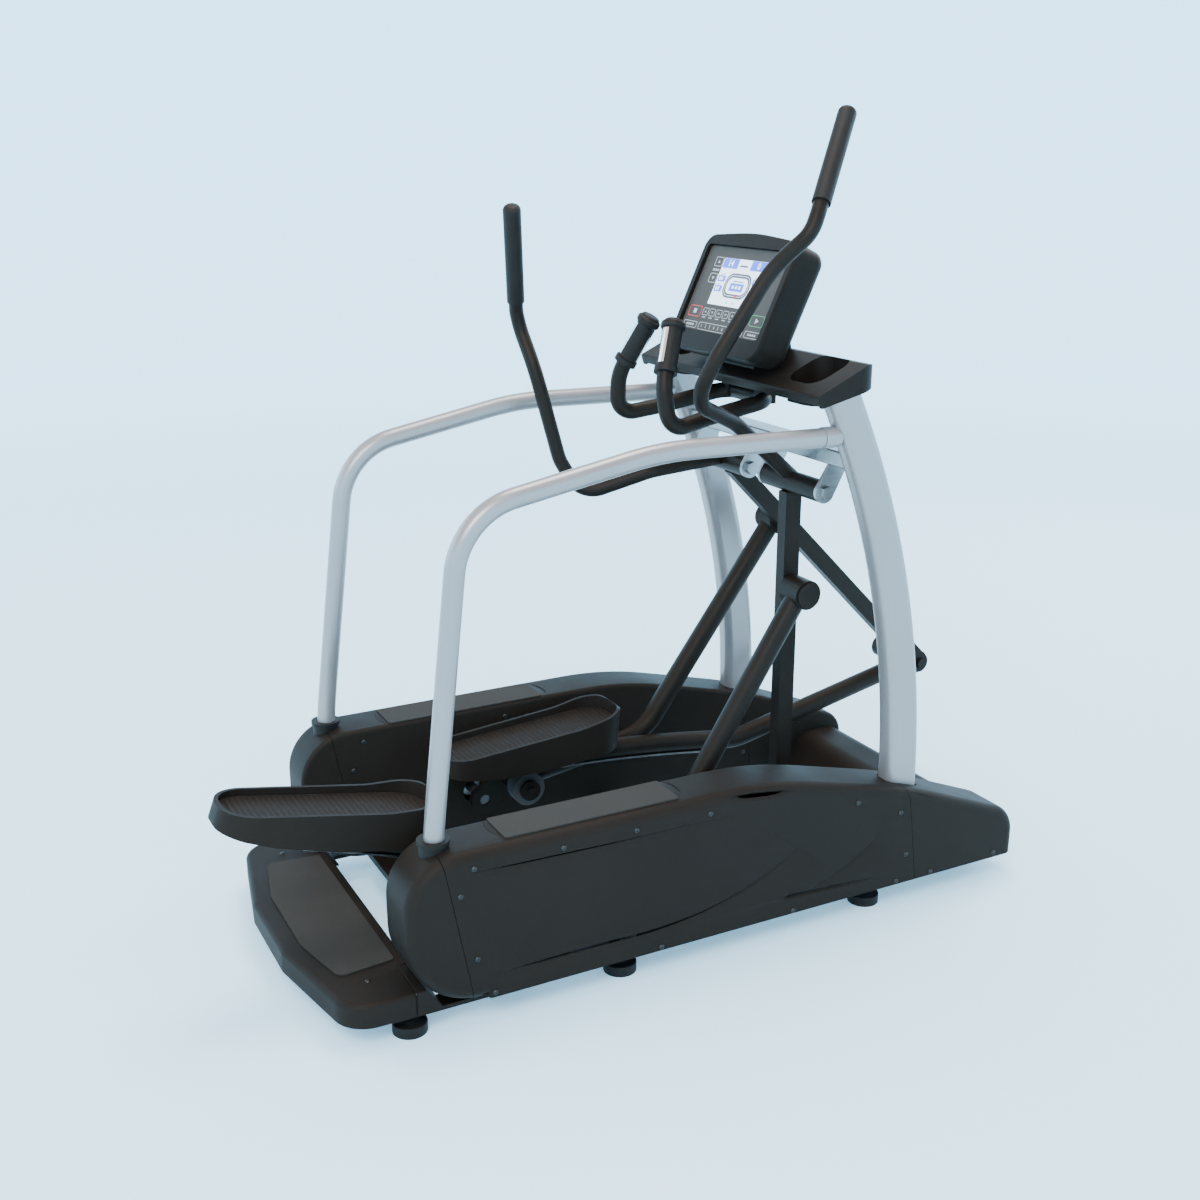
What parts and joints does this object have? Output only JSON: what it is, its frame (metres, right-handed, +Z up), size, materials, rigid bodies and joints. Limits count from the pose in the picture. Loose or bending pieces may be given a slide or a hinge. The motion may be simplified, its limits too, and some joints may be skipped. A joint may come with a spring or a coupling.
{
  "type": "elliptical cross-trainer",
  "caption": "Rear-drive elliptical cross-trainer with long side covers, curved uprights, handrails, swing arms with moving handlebars, foot pedals on roller tracks and a console.",
  "frame": {"origin": "centre of the rest-pose bounding box, on the floor", "axes": "+X towards the console end, +Y to the user's left, +Z up"},
  "size_m": [1.9271, 0.8124, 1.7215],
  "materials": {
    "frame_silver": "satin metallic paint",
    "frame_black": "satin powder coat",
    "cover_plastic": "fine moulded texture",
    "pad_rubber": "fine grain",
    "black_rubber": "matt",
    "bright_steel": "ground",
    "screw_steel": "bright",
    "roller_polymer": "semi-matt",
    "cast": "machined and oiled",
    "belt_rubber": "ribbed",
    "console_black": "fine moulded texture",
    "key_panel": "printed overlay",
    "display": "clear window",
    "sensor_chrome": "bright"
  },
  "bodies": {
    "frame": {"base_frame": "frame_black", "levelling_feet": "black_rubber", "cover_rear_left": "cover_plastic", "cover_rear_right": "cover_plastic", "cover_main_left": "cover_plastic", "cover_main_right": "cover_plastic", "cover_front_left": "cover_plastic", "cover_front_right": "cover_plastic", "step_pads": "pad_rubber", "front_hood": "cover_plastic", "rear_step": "cover_plastic", "rear_step_pad": "pad_rubber", "upright_left": "frame_silver", "upright_right": "frame_silver", "handrail_left": "frame_silver", "handrail_right": "frame_silver", "handrail_collars": "black_rubber", "handrail_sleeves": "frame_silver", "pivot_crossbar": "bright_steel", "pivot_brackets": "bright_steel", "pivot_axles": "bright_steel", "pivot_bushes": "bright_steel", "drive_belts": "belt_rubber", "shaft_bearings": "bright_steel", "console_tray": "console_black", "console_bezel": "console_black", "console_back": "console_black", "console_panel": "key_panel", "display_glass": "display", "fixed_handlebar": "frame_black", "pulse_grips": "black_rubber", "pulse_sensors": "sensor_chrome", "pan_screws": "screw_steel", "power_inlet": "console_black"},
    "swing_arm_right": {"swing_arm_right": "frame_black", "handlebar_right": "frame_black", "grip_right": "black_rubber"},
    "pedal_arm_right": {"pedal_arm_right": "frame_black", "roller_track_right": "bright_steel", "foot_pedal_right": "console_black", "pedal_tread_right": "pad_rubber"},
    "drawbar_right": {"drawbar_right": "frame_black", "roller_pin_right": "bright_steel"},
    "roller_right": {"track_roller_right": "roller_polymer"},
    "crank_right": {"crank_arm_right": "frame_black", "crank_pulley_right": "cast"},
    "swing_arm_left": {"swing_arm_left": "frame_black", "handlebar_left": "frame_black", "grip_left": "black_rubber"},
    "pedal_arm_left": {"pedal_arm_left": "frame_black", "roller_track_left": "bright_steel", "foot_pedal_left": "console_black", "pedal_tread_left": "pad_rubber"},
    "drawbar_left": {"drawbar_left": "frame_black", "roller_pin_left": "bright_steel"},
    "roller_left": {"track_roller_left": "roller_polymer"},
    "crank_left": {"crank_arm_left": "frame_black", "crank_pulley_left": "cast"},
    "cross_shaft": {"cross_shaft": "bright_steel"},
    "flywheel": {"flywheel": "cast"}
  },
  "joints": [
    {"name": "right_swing", "type": "hinge", "parent": "frame", "child": "swing_arm_right", "pos_m": [0.34336, -0.143, 0.943], "axis": [0, -1, 0], "range_deg": [0, 45]},
    {"name": "left_swing", "type": "hinge", "parent": "frame", "child": "swing_arm_left", "pos_m": [0.34336, 0.143, 0.943], "axis": [0, -1, 0], "range_deg": [-45, 0]},
    {"name": "right_pedal", "type": "hinge", "parent": "swing_arm_right", "child": "pedal_arm_right", "pos_m": [0.34336, -0.128, 0.107], "axis": [0, -1, 0], "range_deg": [-30, 0]},
    {"name": "left_pedal", "type": "hinge", "parent": "swing_arm_left", "child": "pedal_arm_left", "pos_m": [0.9345, 0.128, 0.35186], "axis": [0, -1, 0], "range_deg": [0, 30]},
    {"name": "right_drawbar", "type": "hinge", "parent": "swing_arm_right", "child": "drawbar_right", "pos_m": [0.34336, -0.178, 0.703], "axis": [0, -1, 0], "range_deg": [-49, 0]},
    {"name": "left_drawbar", "type": "hinge", "parent": "swing_arm_left", "child": "drawbar_left", "pos_m": [0.51307, 0.178, 0.77329], "axis": [0, -1, 0], "range_deg": [0, 49]},
    {"name": "right_roller", "type": "hinge", "parent": "drawbar_right", "child": "roller_right", "pos_m": [-0.32305, -0.128, 0.10944], "axis": [0, -1, 0], "range_deg": [-690, 0]},
    {"name": "left_roller", "type": "hinge", "parent": "drawbar_left", "child": "roller_left", "pos_m": [-0.18881, 0.128, 0.22211], "axis": [0, -1, 0], "range_deg": [0, 690]},
    {"name": "right_crank", "type": "hinge", "parent": "frame", "child": "crank_right", "pos_m": [-0.25564, -0.3, 0.166], "axis": [0, -1, 0], "range_deg": [-180, 0]},
    {"name": "left_crank", "type": "hinge", "parent": "frame", "child": "crank_left", "pos_m": [-0.25564, 0.3, 0.166], "axis": [0, -1, 0], "range_deg": [-180, 0]},
    {"name": "cross_shaft_spin", "type": "hinge", "parent": "frame", "child": "cross_shaft", "pos_m": [0.73736, 0, 0.11], "axis": [0, -1, 0], "range_deg": [-563, 0]},
    {"name": "flywheel_spin", "type": "hinge", "parent": "frame", "child": "flywheel", "pos_m": [0.16536, -0.292, 0.18879], "axis": [0, -1, 0], "range_deg": [-720, 0]}
  ],
  "couplings": [
    {"joint": "left_swing", "follows": "right_swing", "ratio": -1},
    {"joint": "right_pedal", "follows": "right_swing", "ratio": -0.6618},
    {"joint": "left_pedal", "follows": "right_swing", "ratio": 0.6618},
    {"joint": "right_drawbar", "follows": "right_swing", "ratio": -1.0789},
    {"joint": "left_drawbar", "follows": "right_swing", "ratio": 1.0789},
    {"joint": "right_roller", "follows": "right_swing", "ratio": -15.2},
    {"joint": "left_roller", "follows": "right_swing", "ratio": 15.2},
    {"joint": "right_crank", "follows": "right_swing", "ratio": -4},
    {"joint": "left_crank", "follows": "right_swing", "ratio": -4},
    {"joint": "cross_shaft_spin", "follows": "right_swing", "ratio": -12.5},
    {"joint": "flywheel_spin", "follows": "right_swing", "ratio": -16}
  ]
}
